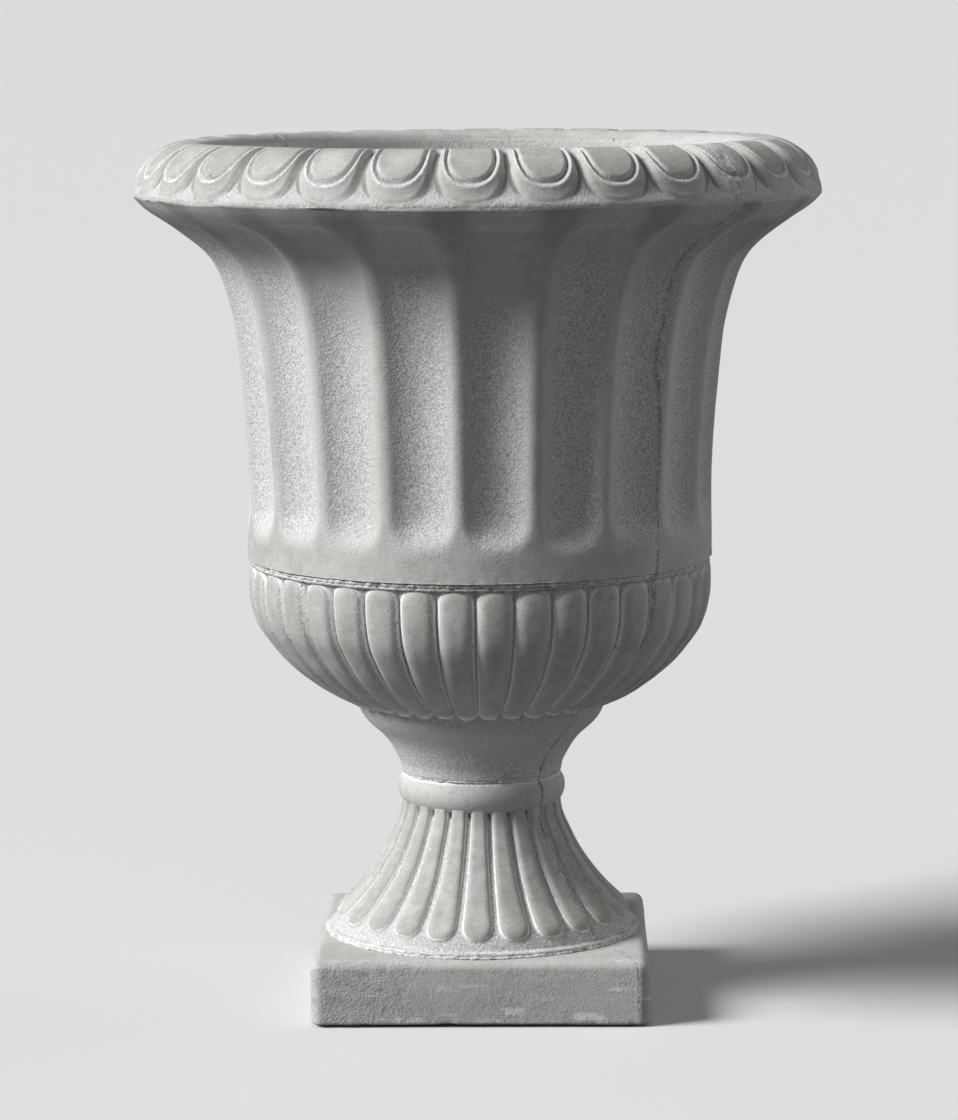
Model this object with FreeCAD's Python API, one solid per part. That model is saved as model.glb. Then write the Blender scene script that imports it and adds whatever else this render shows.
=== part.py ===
"""Urn planter of cast stone: a fluted body over a gadrooned bowl, a foot and a plinth.

Four hollow castings stand on each other on thin beds of mortar. Pins cross the wall
joint between body and bowl. A stud with a nut at each end holds bowl, foot and plinth
together, and the bore round the stud drains the bowl.

Millimetres, +Z up. The origin is the middle of the underside, on the ground.
"""
import FreeCAD, Part
import math
import os
from FreeCAD import Vector

os.makedirs("parts", exist_ok=True)

# ---------------------------------------------------------------- driving sizes
# Base
pad_radius = 17.0
pad_thickness = 1.5
pad_inset = 30.0              # from the plinth's side to the pad's middle
plinth_side = 290.0
plinth_height = 56.5
plinth_corner = 10.0          # rounding of the upright edges
plinth_top_arris = 8.0
plinth_low_arris = 3.0

# Heights of the other castings, and the mortar between them
bed_thickness = 1.5
foot_height = 138.5
bowl_height = 188.0
body_height = 362.5

# Foot
foot_lobes = 24
lobe_relief = 4.0             # tongues stand this far above the grooves
lobe_tip_drop = 11.0          # from the tongues' round ends down to the foot's base
lobe_share = 0.96             # of the half pitch
lobe_squareness = 2.4         # power of the rounded end: 2 is round, more is squarer
lobe_fullness = 4.5           # power of the section: more is a flatter back
foot_top_radius = 65.5        # grooves, under the collar
foot_low_radius = 133.5       # grooves' surface, where it meets the base ring
base_ring_radius = 136.0
base_ring_height = 5.0
collar_radius = 73.5
collar_edge_radius = 67.5
collar_height = 26.5

# Bowl
neck_radius = 70.0
gadroon_count = 38
gadroon_relief = 6.0
gadroon_top_gap = 0.0         # plain band between the gadroons' tops and the joint
gadroon_squareness = 2.4
gadroon_fullness = 3.0
ledge_height = 62.5           # from the neck's foot to the gadroons' lower ends
ledge_radius = 116.0
ledge_step = 6.0              # the gadroons overhang the neck by this much
belly_radius = 201.5

# Body
flute_count = 20
flute_depth = 12.0
flute_ridge_share = 0.18      # share of the half pitch that rounds over as the ridge
flute_squareness = 2.6
flute_low_gap = 25.0          # plain band between the joint and the flutes' ends
flute_high_gap = 14.0         # plain band between the flutes' ends and the rim
waist_radius = 202.0
flare_radius = 288.0          # where the wall runs in under the rim

# Rim
rim_radius = 299.0            # over the tongues
rim_width = 59.0              # from the inner edge of the carving to the outside
rim_depth = 55.5
mouth_radius = 236.0
tongue_count = 30
tongue_relief = 4.0
tongue_share = 0.93           # of the half pitch
tongue_squareness = 2.3
tongue_round_share = 0.52     # share of a tongue's length where its sides begin to close
tongue_tip_drop = 11.0        # from the rim's lower edge up to the tongues' tips
oval_relief = 1.4
oval_share = 0.66             # of the half pitch
oval_squareness = 2.4
oval_round_share = 0.5
oval_tip_drop = 30.0
carved_edge = 0.2             # width of a carved edge, as a share of the half pitch
plain_crest = 6.0             # along the rim's crest, before the carving rises
carving_rise = 18.0           # and the length over which it rises

# Walls and the planting space
wall_thickness = 33.0
floor_thickness = 42.0        # above the ledge
floor_radius = 104.0
drain_radius = 26.0

# Spigot between neck and foot
spigot_radius = 44.0
spigot_length = 8.0
spigot_clearance = 1.0
spigot_end_gap = 0.6

# Pins across the wall joint
dowel_count = 8
dowel_radius = 4.0
dowel_length = 52.0
dowel_clearance = 0.3

# Stud, nuts, washers and the bars that bridge the drain bore
rod_radius = 6.0
rod_clearance = 0.15
rod_stand_out = 5.0           # past the outer face of each nut
nut_across_flats = 18.0
nut_height = 10.8
washer_radius = 12.0
washer_thickness = 2.5
bar_bearing = 8.0             # each end of a bar lies this far on the stone
bar_width = 24.0
bar_thickness = 6.0
bar_hole_clearance = 0.5
recess_clearance = 2.0        # round the lower bar's ends
recess_depth = 26.0

# Mortar is struck back from the joint's outer edge
wall_joint_setback = 3.0
neck_joint_setback = 1.5
foot_joint_setback = 6.0

# ---------------------------------------------------------------- levels
plinth_base = pad_thickness
plinth_top = plinth_base + plinth_height
foot_base = plinth_top + bed_thickness
foot_top = foot_base + foot_height
bowl_base = foot_top + bed_thickness
ledge_level = bowl_base + ledge_height
floor_level = ledge_level + floor_thickness
bowl_top = bowl_base + bowl_height
body_base = bowl_top + bed_thickness
rim_top = body_base + body_height
rim_base = rim_top - rim_depth
recess_level = plinth_base + recess_depth
bar_length = 2 * (drain_radius + bar_bearing)
lap = 6.0                     # how far joined forms of one casting run into each other
degree = 3                    # of the carved surfaces

# Turn of each ring of ornament about the axis, degrees from +X to a cell's middle
tongue_turn = -90.0
flute_turn = -84.8
gadroon_turn = -85.5
lobe_turn = -91.0

# ---------------------------------------------------------------- outlines
# Each outline is a list of shares: of the way from the first radius to the last, and of
# the way from the first level to the last.
flare_shape = [(0, 0), (0, 0.13), (0.005, 0.25), (0.021, 0.33), (0.047, 0.435),
               (0.084, 0.5475), (0.136, 0.66), (0.231, 0.77), (0.308, 0.828),
               (0.389, 0.863), (0.521, 0.8986), (0.677, 0.931), (0.839, 0.963), (1, 1)]
rim_shape = [(0, 0.045), (0.16, 0.018), (0.31, 0.030), (0.44, 0.070), (0.565, 0.135),
             (0.675, 0.22), (0.77, 0.315), (0.84, 0.415), (0.905, 0.535), (0.965, 0.65),
             (1, 0.76), (0.975, 0.87), (0.88, 1)]
belly_shape = [(0, 0), (0.165, 0.0535), (0.34, 0.127), (0.52, 0.22), (0.65, 0.301),
               (0.80, 0.4255), (0.915, 0.545), (0.972, 0.66), (0.997, 0.775),
               (1, 0.86), (0.99, 0.956), (0.98, 1)]
neck_shape = [(0, 0), (0.03, 0.098), (0.12, 0.212), (0.2625, 0.355), (0.45, 0.489),
              (0.70, 0.62), (0.875, 0.752), (1, 1)]
foot_shape = [(0, 1), (0.018, 0.883), (0.07, 0.79), (0.139, 0.70), (0.216, 0.605),
              (0.313, 0.51), (0.433, 0.41), (0.575, 0.305), (0.73, 0.21),
              (0.873, 0.125), (0.948, 0.062), (1, 0)]
inner_wall_shape = [(0, 0), (0, 0.21), (0.03, 0.37), (0.145, 0.54), (0.32, 0.675),
                    (0.56, 0.77), (0.79, 0.85), (0.94, 0.935), (1, 1)]
inner_bowl_shape = [(0, 0), (0.34, 0.06), (0.66, 0.24), (0.88, 0.5), (0.98, 0.78), (1, 1)]


# Radius of the belly's outline at the joint, over the gadroons' crowns
joint_radius = ledge_radius + belly_shape[-1][0] * (belly_radius - ledge_radius)


def outline(shape, radii, levels):
    """Smooth curve in the XZ plane through the shares of a shape."""
    points = []
    for across, up in shape:
        radius = radii[0] + across * (radii[1] - radii[0])
        level = levels[0] + up * (levels[1] - levels[0])
        points.append(Vector(radius, 0, level))
    curve = Part.BSplineCurve()
    curve.interpolate(points)
    return curve


def turn(edges):
    """Solid of revolution about Z from a closed run of edges in the XZ plane."""
    face = Part.Face(Part.Wire(Part.__sortEdges__(edges)))
    return face.revolve(Vector(0, 0, 0), Vector(0, 0, 1), 360)


def turn_points(points):
    """Solid of revolution from the corners (radius, level) of a closed outline."""
    corners = [Vector(radius, 0, level) for radius, level in points]
    return turn(Part.makePolygon(corners + corners[:1]).Edges)


def turn_under(curve):
    """Solid of revolution between a curve and the axis."""
    first = curve.StartPoint
    last = curve.EndPoint
    corners = [last, Vector(0, 0, last.z), Vector(0, 0, first.z), first]
    return turn([curve.toShape()] + Part.makePolygon(corners).Edges)


def disc(radius, low, high, at=(0, 0)):
    return Part.makeCylinder(radius, high - low, Vector(at[0], at[1], low))


def smooth_step(value):
    """0 below 0, 1 above 1, and a smooth rise between."""
    value = min(max(value, 0.0), 1.0)
    return value * value * (3 - 2 * value)


def rounded_norm(across, along, power):
    """1 on a rounded rectangle, less inside it and more outside."""
    return (abs(across) ** power + abs(along) ** power) ** (1.0 / power)


def carved_ring(curve, count, relief, steps, turned):
    """Closed solid inside a ring of equal carved cells, turned about the axis.

    A cell is one smooth surface held by a net of poles. Each pole lies on the curve,
    swung about the axis and moved along the curve's normal by relief(across, along):
    across runs from -1 to 1 over the cell, and along is the distance from the curve's
    start. Poles of the first and last row move level, so that flat caps close the ring.
    """
    across_steps, along_steps = steps
    length = curve.length()
    side = math.copysign(1, curve.EndPoint.z - curve.StartPoint.z)
    net = []
    for j in range(across_steps + 1):
        across = 2.0 * j / across_steps - 1
        angle = across * math.pi / count
        row = []
        for i in range(along_steps + 1):
            along = length * i / along_steps
            at = curve.parameterAtDistance(along, curve.FirstParameter)
            tangent = curve.tangent(at)[0]
            normal = Vector(tangent.z, 0, -tangent.x) * side
            if i in (0, along_steps):
                normal = Vector(1, 0, 0)
            point = curve.value(at) + normal * relief(across, along)
            row.append(Vector(point.x * math.cos(angle), point.x * math.sin(angle), point.z))
        net.append(row)
    cell = pole_surface(net).toShape()
    cells = []
    for k in range(count):
        copy = cell.copy()
        copy.rotate(Vector(0, 0, 0), Vector(0, 0, 1), turned + 360.0 * k / count)
        cells.append(copy)
    caps = [level_cap(cells, end.z) for end in (curve.StartPoint, curve.EndPoint)]
    shell = Part.Compound(cells + caps)
    shell.sewShape()
    solid = Part.Solid(shell.Shells[0])
    if solid.Volume < 0:
        solid.reverse()
    return solid


def pole_surface(net):
    """Cubic surface whose poles are the net, clamped at its four sides."""
    knots = []
    mults = []
    for poles in (len(net), len(net[0])):
        spans = poles - degree
        knots.append([i / spans for i in range(spans + 1)])
        mults.append([degree + 1] + [1] * (spans - 1) + [degree + 1])
    surface = Part.BSplineSurface()
    surface.buildFromPolesMultsKnots(net, mults[0], mults[1], knots[0], knots[1],
                                     False, False, degree, degree)
    return surface


def level_cap(cells, level):
    """Flat face inside the level edges that a ring of cells has at one height."""
    edges = []
    for cell in cells:
        for edge in cell.Edges:
            box = edge.BoundBox
            if max(abs(box.ZMin - level), abs(box.ZMax - level)) < 1e-4:
                edges.append(edge)
    return Part.Face(Part.Wire(Part.__sortEdges__(edges)))


# ---------------------------------------------------------------- castings
def make_body():
    """Rim and fluted wall, one casting, open at both ends."""
    wall = outline(flare_shape, (waist_radius, flare_radius), (body_base, rim_base + lap / 2))
    length = wall.length()
    half_pitch = math.pi * waist_radius / flute_count
    low_end = flute_low_gap + half_pitch
    high_end = length - flute_high_gap - half_pitch

    def flute(across, along):
        past = max(low_end - along, along - high_end, 0) / half_pitch
        reach = min(rounded_norm(across, past, flute_squareness), 1.0)
        turn_over = 1 - flute_ridge_share
        if reach < turn_over:
            hollow = 1 - reach * reach / turn_over
        else:
            hollow = (1 - reach) ** 2 / flute_ridge_share
        return -flute_depth * hollow

    rim = outline(rim_shape, (rim_radius - rim_width, rim_radius), (rim_top, rim_base))
    rim_length = rim.length()
    tip = rim_length - tongue_tip_drop
    oval_tip = rim_length - oval_tip_drop

    def rounded_end(across, along, tip, round_share, squareness):
        """1 on the edge of a tongue or oval with a rounded tip, less inside it."""
        start = tip * round_share
        past = max(along - start, 0) / (tip - start)
        return rounded_norm(across, past, squareness)

    def tongue(across, along):
        reach = rounded_end(across / tongue_share, along, tip, tongue_round_share,
                            tongue_squareness)
        fill = smooth_step((reach - 1) / carved_edge + 0.5)
        fill *= 1 - smooth_step((along - tip) / (rim_length - tip))
        reach = rounded_end(across / oval_share, along, oval_tip, oval_round_share,
                            oval_squareness)
        oval = 1 - smooth_step((reach - 1) / carved_edge + 0.5)
        start = smooth_step((along - plain_crest) / carving_rise)
        return start * (oval_relief * oval - tongue_relief * fill)

    fluted = carved_ring(wall, flute_count, flute, (14, 34), flute_turn)
    carved = carved_ring(rim, tongue_count, tongue, (20, 26), tongue_turn)
    space = outline(inner_wall_shape, (waist_radius - wall_thickness, mouth_radius),
                    (body_base, rim_top))
    body = carved.fuse(fluted).cut(turn_under(space))
    for pin in dowels(dowel_radius + dowel_clearance):
        body = body.cut(pin)
    return body


def make_bowl():
    """Gadrooned bowl with the floor and the neck."""
    belly = outline(belly_shape, (ledge_radius, belly_radius), (ledge_level, bowl_top))
    length = belly.length()
    half_pitch = math.pi * belly_radius / gadroon_count
    top_round = length - gadroon_top_gap - half_pitch

    def gadroon(across, along):
        past = max(along - top_round, 0) / half_pitch
        reach = min(rounded_norm(across, past, gadroon_squareness), 1.0)
        return -gadroon_relief * reach ** gadroon_fullness

    lobes = carved_ring(belly, gadroon_count, gadroon, (10, 26), gadroon_turn)
    neck = outline(neck_shape, (neck_radius, ledge_radius - ledge_step),
                   (bowl_base, ledge_level + lap))
    spigot = disc(spigot_radius, bowl_base - spigot_length, bowl_base + lap)
    space = outline(inner_bowl_shape, (floor_radius, waist_radius - wall_thickness),
                    (floor_level, bowl_top))
    bowl = lobes.fuse(turn_under(neck)).fuse(spigot)
    bowl = bowl.cut(turn_under(space))
    bowl = bowl.cut(disc(drain_radius, plinth_base, bowl_top))
    for pin in dowels(dowel_radius + dowel_clearance):
        bowl = bowl.cut(pin)
    return bowl


def make_foot():
    """Collar, tongued socle and base ring."""
    collar_low = foot_top - collar_height
    socle = outline(foot_shape, (foot_top_radius, foot_low_radius),
                    (foot_base + base_ring_height / 2, collar_low + lap))
    length = socle.length()
    half_pitch = math.pi * foot_low_radius / foot_lobes
    tip = length - lobe_tip_drop
    tip_round = tip - half_pitch

    def lobe(across, along):
        past = max(along - tip_round, 0) / half_pitch
        reach = min(rounded_norm(across / lobe_share, past, lobe_squareness), 1.0)
        return lobe_relief * (1 - reach ** lobe_fullness)

    lobes = carved_ring(socle, foot_lobes, lobe, (10, 30), lobe_turn)
    top_out = Vector(collar_edge_radius, 0, foot_top)
    low_out = Vector(collar_edge_radius, 0, collar_low)
    bulge = Vector(collar_radius, 0, foot_top - collar_height / 2)
    swell = Part.Arc(low_out, bulge, top_out).toShape()
    corners = [top_out, Vector(0, 0, foot_top), Vector(0, 0, collar_low), low_out]
    collar = turn([swell] + Part.makePolygon(corners).Edges)
    ring_middle = foot_base + base_ring_height / 2
    ring_flat = base_ring_radius - base_ring_height / 2
    ring_top = Vector(ring_flat, 0, foot_base + base_ring_height)
    ring_low = Vector(ring_flat, 0, foot_base)
    ring_out = Part.Arc(ring_low, Vector(base_ring_radius, 0, ring_middle), ring_top)
    corners = [ring_top, Vector(0, 0, ring_top.z), Vector(0, 0, ring_low.z), ring_low]
    base_ring = turn([ring_out.toShape()] + Part.makePolygon(corners).Edges)
    foot = lobes.fuse(collar).fuse(base_ring)
    recess = spigot_radius + spigot_clearance
    recess_floor = bowl_base - spigot_length - spigot_end_gap
    foot = foot.cut(disc(recess, recess_floor, foot_top + lap))
    return foot.cut(disc(drain_radius, plinth_base, bowl_top))


def make_plinth():
    """Square block with the drain bore and a recess for the lower nut."""
    half = plinth_side / 2
    block = Part.makeBox(plinth_side, plinth_side, plinth_height,
                         Vector(-half, -half, plinth_base))
    uprights = [edge for edge in block.Edges if edge.BoundBox.ZLength > plinth_height / 2]
    block = block.makeFillet(plinth_corner, uprights)
    top = [edge for edge in block.Edges if edge.BoundBox.ZMin > plinth_top - 1e-3]
    block = block.makeFillet(plinth_top_arris, top)
    low = [edge for edge in block.Edges if edge.BoundBox.ZMax < plinth_base + 1e-3]
    block = block.makeFillet(plinth_low_arris, low)
    block = block.cut(disc(drain_radius, 0, rim_top))
    return block.cut(disc(bar_length / 2 + recess_clearance, 0, recess_level))


# ---------------------------------------------------------------- mortar
def ring_bed(outer, inner, low):
    return disc(outer, low, low + bed_thickness).cut(disc(inner, low, low + bed_thickness))


def make_body_mortar():
    groove_radius = joint_radius - gadroon_relief
    bed = ring_bed(groove_radius - wall_joint_setback, waist_radius - wall_thickness,
                   bowl_top)
    for pin in dowels(dowel_radius + dowel_clearance):
        bed = bed.cut(pin)
    return bed


def make_neck_mortar():
    return ring_bed(collar_edge_radius - neck_joint_setback,
                    spigot_radius + spigot_clearance, foot_top)


def make_plinth_mortar():
    return ring_bed(base_ring_radius - foot_joint_setback, drain_radius, plinth_top)


# ---------------------------------------------------------------- fastenings
def dowels(radius):
    """Pins on a circle in the middle of the wall, half in each casting."""
    middle = bowl_top + bed_thickness / 2
    circle = (joint_radius - gadroon_relief + waist_radius - wall_thickness) / 2
    pins = []
    for k in range(dowel_count):
        angle = 2 * math.pi * (k + 0.5) / dowel_count
        at = (circle * math.cos(angle), circle * math.sin(angle))
        pins.append(disc(radius, middle - dowel_length / 2, middle + dowel_length / 2, at))
    return pins


def make_washer(low):
    ring = disc(washer_radius, low, low + washer_thickness)
    return ring.cut(disc(rod_radius + bar_hole_clearance, low, low + washer_thickness))


def make_nut(low):
    """Hexagon nut with the corners of its outer faces turned off."""
    corner = nut_across_flats / math.sqrt(3)
    points = []
    for k in range(7):
        angle = math.pi * k / 3
        points.append(Vector(corner * math.cos(angle), corner * math.sin(angle), low))
    hexagon = Part.Face(Part.makePolygon(points)).extrude(Vector(0, 0, nut_height))
    fall = (corner - nut_across_flats / 2) * math.tan(math.radians(30))
    flat = nut_across_flats / 2
    turned = turn_points([(0, low), (flat, low), (corner, low + fall),
                          (corner, low + nut_height - fall), (flat, low + nut_height),
                          (0, low + nut_height)])
    hole = disc(rod_radius + rod_clearance, low, low + nut_height)
    return hexagon.common(turned).cut(hole)


def make_bar(low):
    """Flat bar with a hole for the stud."""
    bar = Part.makeBox(bar_length, bar_width, bar_thickness,
                       Vector(-bar_length / 2, -bar_width / 2, low))
    return bar.cut(disc(rod_radius + bar_hole_clearance, low, low + bar_thickness))


upper_washer_level = floor_level + bar_thickness
upper_nut_level = upper_washer_level + washer_thickness
lower_bar_level = recess_level - bar_thickness
lower_washer_level = lower_bar_level - washer_thickness
lower_nut_level = lower_washer_level - nut_height


def make_rod():
    return disc(rod_radius, lower_nut_level - rod_stand_out,
                upper_nut_level + nut_height + rod_stand_out)


def make_pads():
    reach = plinth_side / 2 - pad_inset
    return [disc(pad_radius, 0, pad_thickness, (x, y)) for x in (-reach, reach)
            for y in (-reach, reach)]


# ---------------------------------------------------------------- the assembly
nodes = {
    "fluted_body": make_body(),
    "gadrooned_bowl": make_bowl(),
    "fluted_foot": make_foot(),
    "square_plinth": make_plinth(),
    "body_joint_mortar": make_body_mortar(),
    "neck_joint_mortar": make_neck_mortar(),
    "plinth_joint_mortar": make_plinth_mortar(),
    "wall_dowels": Part.Compound(dowels(dowel_radius)),
    "tie_rod": make_rod(),
    "upper_clamp_bar": make_bar(floor_level),
    "upper_washer": make_washer(upper_washer_level),
    "upper_nut": make_nut(upper_nut_level),
    "lower_clamp_bar": make_bar(lower_bar_level),
    "lower_washer": make_washer(lower_washer_level),
    "lower_nut": make_nut(lower_nut_level),
    "base_pads": Part.Compound(make_pads()),
}
for name, shape in nodes.items():
    shape.exportStep("parts/" + name + ".step")
    box = shape.BoundBox
    print("%-20s solids %d valid %s volume %.0f faces %d z %.1f..%.1f r %.1f"
          % (name, len(shape.Solids), shape.isValid(), shape.Volume, len(shape.Faces),
             box.ZMin, box.ZMax, box.XMax))
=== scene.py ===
# %% [markdown]
# # A carved urn of cast stone
#
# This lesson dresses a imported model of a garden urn. The model already holds every
# casting, joint and fastening at its real size. Here each stone casting gets its carving,
# its worn skin and its lime, worked out as surfaces with numpy.

import math

import bpy
import numpy as np
from mathutils import Euler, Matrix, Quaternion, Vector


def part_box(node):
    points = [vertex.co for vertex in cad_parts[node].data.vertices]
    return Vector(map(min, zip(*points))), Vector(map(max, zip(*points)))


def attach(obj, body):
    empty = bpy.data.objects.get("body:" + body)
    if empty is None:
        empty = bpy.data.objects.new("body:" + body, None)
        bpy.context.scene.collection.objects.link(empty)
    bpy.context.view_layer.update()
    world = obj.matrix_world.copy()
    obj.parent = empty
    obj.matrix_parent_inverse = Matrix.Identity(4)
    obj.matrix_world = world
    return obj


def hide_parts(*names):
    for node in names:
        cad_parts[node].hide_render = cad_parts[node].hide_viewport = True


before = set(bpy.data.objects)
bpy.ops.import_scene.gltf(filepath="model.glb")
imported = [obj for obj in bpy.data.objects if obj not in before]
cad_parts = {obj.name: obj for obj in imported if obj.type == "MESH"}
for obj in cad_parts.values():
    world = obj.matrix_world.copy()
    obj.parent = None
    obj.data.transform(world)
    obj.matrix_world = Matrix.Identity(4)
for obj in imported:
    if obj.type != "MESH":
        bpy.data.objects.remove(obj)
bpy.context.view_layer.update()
print("packed nodes:", ", ".join(sorted(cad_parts)))

# %% [markdown]
# ## Camera and light
#
# The picture was taken with a long lens from a little above the rim, so the mouth shows
# as a thin ellipse. A long lens far away keeps the sides of the urn nearly parallel; a
# short one close by would swell the rim. The light is one broad lamp on the left, rather
# more than a third of the way up, with a weak one low on the right for the far edge.

# %% Camera
mm = 0.001
IMAGE_HEIGHT = 1120           # the photograph's height in pixels
SENSOR = 36.0                 # millimetres, along the picture's longer side
FOCAL_PIXELS = 4300.0
FAR_CLIP = 9000
camera_distance, camera_height, camera_aside = 3728 * mm, 876 * mm, -0.95 * mm
camera_fall = math.radians(7.526)
camera_roll = math.radians(-0.4)
camera_round = math.radians(1.0)


def make_camera():
    """Camera on a circle round the axis, tipped down by camera_fall, rolled a little."""
    lens = bpy.data.cameras.new("camera")
    lens.sensor_width = SENSOR
    lens.lens = FOCAL_PIXELS / IMAGE_HEIGHT * SENSOR
    lens.clip_end = FAR_CLIP
    camera = bpy.data.objects.new("camera", lens)
    tipped = Euler((math.pi / 2 - camera_fall, 0, camera_round)).to_quaternion()
    camera.rotation_mode = "QUATERNION"
    camera.rotation_quaternion = tipped @ Quaternion((0, 0, 1), camera_roll)
    c, s = math.cos(camera_round), math.sin(camera_round)
    camera.location = (camera_aside * c + camera_distance * s,
                       camera_aside * s - camera_distance * c, camera_height)
    bpy.context.scene.collection.objects.link(camera)
    bpy.context.scene.camera = camera
    return camera


camera = make_camera()
print("lens %.1f mm, %.2f m away" % (camera.data.lens, camera.location.length))

# %% Lamps
def make_sun(name, azimuth, elevation, strength, spread):
    """Lamp far away. Azimuth is measured from the camera's side, to the right."""
    lamp = bpy.data.lights.new(name, "SUN")
    lamp.energy = strength
    lamp.angle = math.radians(spread)
    sun = bpy.data.objects.new(name, lamp)
    sun.rotation_euler = (math.radians(90 - elevation), 0, math.radians(azimuth))
    bpy.context.scene.collection.objects.link(sun)
    print("%s: strength %.2f, %d degrees up" % (name, strength, elevation))


make_sun("key_lamp", azimuth=-72, elevation=35, strength=4.0, spread=24)
make_sun("edge_lamp", azimuth=108, elevation=20, strength=0.45, spread=50)

# %% [markdown]
# ## Pattern maths
#
# Weathering needs noise that is the same at every run. `field` is value noise: random
# numbers on a lattice, blended with a smooth weight. Several sizes of it added together
# look like stone.

# %% Noise
LATTICE, LATTICE_SEED = 64, 7
OCTAVE_SHIFT = 11.3           # keeps the sizes of one sum apart
lattice = np.random.default_rng(LATTICE_SEED).uniform(-1, 1, (LATTICE,) * 3)
print("noise lattice of %d values" % lattice.size)


def field(points, size, shift=0.0):
    """Value noise from -1 to 1. Weight w = t*t*t*(t*(6t-15)+10) between lattice points."""
    at = points / size + shift
    base = np.floor(at).astype(int)
    t = at - base
    w = t * t * t * (t * (6 * t - 15) + 10)
    total = 0.0
    for corner in np.ndindex(2, 2, 2):
        share = np.prod(np.where(np.array(corner) == 1, w, 1 - w), axis=-1)
        cell = (base + np.array(corner)) % LATTICE
        total = total + share * lattice[cell[..., 0], cell[..., 1], cell[..., 2]]
    return total


def rough(points, size, octaves, shift=0.0):
    """Sum of noise fields, each half the size and half the strength of the last."""
    total = 0.0
    for k in range(octaves):
        total = total + field(points, size / 2 ** k, shift + OCTAVE_SHIFT * k) / 2 ** k
    return total


def smooth_step(low, high, value):
    """0 below low, 1 above high, t*t*(3-2t) between."""
    t = np.clip((value - low) / (high - low), 0, 1)
    return t * t * (3 - 2 * t)


def bell(value, width):
    """exp(-(value/width)^2)."""
    return np.exp(-(value / width) ** 2)


def rounded(across, along, power):
    """1 on a rounded rectangle, less inside it and more outside."""
    return (np.abs(across) ** power + np.abs(along) ** power) ** (1 / power)


# %% [markdown]
# ## Outlines
#
# Every casting is turned: its section is a smooth line that goes round the axis. Each
# section is written as shares of the way between two radii and two levels, and the levels
# come from the model's own boxes, so the carving follows the model.

# %% Smooth outlines
def natural_spline(corners, steps=600):
    """Points on the natural cubic spline through the corners, by chord length."""
    corners = np.asarray(corners, float)
    chord = np.r_[0, np.cumsum(np.hypot(*np.diff(corners, axis=0).T))]
    gap = np.diff(chord)
    count = len(corners)
    system = np.eye(count)
    right = np.zeros((count, 2))
    for i in range(1, count - 1):
        system[i, i - 1:i + 2] = gap[i - 1], 2 * (gap[i - 1] + gap[i]), gap[i]
        right[i] = 6 * ((corners[i + 1] - corners[i]) / gap[i]
                        - (corners[i] - corners[i - 1]) / gap[i - 1])
    bend = np.linalg.solve(system, right)
    at = np.linspace(0, chord[-1], steps)
    k = np.clip(np.searchsorted(chord, at) - 1, 0, count - 2)
    a = ((chord[k + 1] - at) / gap[k])[:, None]
    b = 1 - a
    h = gap[k][:, None]
    return (a * corners[k] + b * corners[k + 1]
            + ((a ** 3 - a) * bend[k] + (b ** 3 - b) * bend[k + 1]) * h ** 2 / 6)


def shares(shape, radii, levels):
    """Corners (radius, level) from shares of the way between two radii and two levels."""
    shape = np.asarray(shape, float)
    return np.c_[radii[0] + shape[:, 0] * (radii[1] - radii[0]),
                 levels[0] + shape[:, 1] * (levels[1] - levels[0])]


def distance_along(line):
    """Distance of each point of the line from its start."""
    return np.r_[0, np.cumsum(np.hypot(*np.diff(line, axis=0).T))]


def points_from(radius, level, offsets):
    """Section points, given in mm outwards and upwards from one spot."""
    return np.array(offsets, float) * mm + [radius, level]


def resampled(line, at):
    """Points of the line at the given distances from its start."""
    along = distance_along(line)
    return np.c_[np.interp(at, along, line[:, 0]), np.interp(at, along, line[:, 1])]


def spaced(line, rows):
    """The line resampled to equal steps, with its distance from the start."""
    at = np.linspace(0, distance_along(line)[-1], rows)
    return resampled(line, at), at


def outward(line):
    """Unit normals of a section line, to the right of its direction."""
    slope = np.gradient(line, axis=0)
    slope /= np.hypot(*slope.T)[:, None] + 1e-12
    return np.c_[slope[:, 1], -slope[:, 0]]


# %% [markdown]
# ## From a grid to a mesh
#
# A turned casting with a bore is a ring: its section is a closed loop. So the grid of
# points closes on itself both ways and needs no poles. Only the arcs of the rim end in
# flat caps, and those meet the next arc's cap face to face.

# %% Grid meshes
def ring_mesh(name, grid, marks, closed=True):
    """Mesh from a grid [column, row, xyz]. Rows close on themselves; columns if closed."""
    columns, rows = grid.shape[:2]
    index = np.arange(columns * rows).reshape(columns, rows)
    across = np.roll(index, -1, axis=0) if closed else index[1:]
    first = index if closed else index[:-1]
    quads = np.stack([first, across, np.roll(across, -1, 1), np.roll(first, -1, 1)], -1)
    faces = quads.reshape(-1, 4)
    caps = [] if closed else [index[0], index[-1][::-1]]
    loops = np.concatenate([faces.ravel()] + caps)
    sizes = np.r_[np.full(len(faces), 4), [rows] * len(caps)].astype(np.int32)
    mesh = bpy.data.meshes.new(name)
    mesh.vertices.add(columns * rows)
    mesh.vertices.foreach_set("co", grid.reshape(-1).astype(np.float32))
    mesh.loops.add(len(loops))
    mesh.loops.foreach_set("vertex_index", loops.astype(np.int32))
    mesh.polygons.add(len(sizes))
    starts = np.r_[0, np.cumsum(sizes)[:-1]].astype(np.int32)
    mesh.polygons.foreach_set("loop_start", starts)
    mesh.polygons.foreach_set("use_smooth", np.ones(len(sizes), bool))
    mesh.update(calc_edges=True)
    mesh.validate()
    for mark, values in marks.items():
        layer = mesh.attributes.new(mark, "FLOAT", "POINT")
        layer.data.foreach_set("value", values.reshape(-1).astype(np.float32))
    if not closed:
        mark_cap_edges(mesh, columns, rows)
    piece = bpy.data.objects.new(name, mesh)
    bpy.context.scene.collection.objects.link(piece)
    print("%-16s %7d triangles" % (name, 2 * len(faces)))
    return piece


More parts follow.
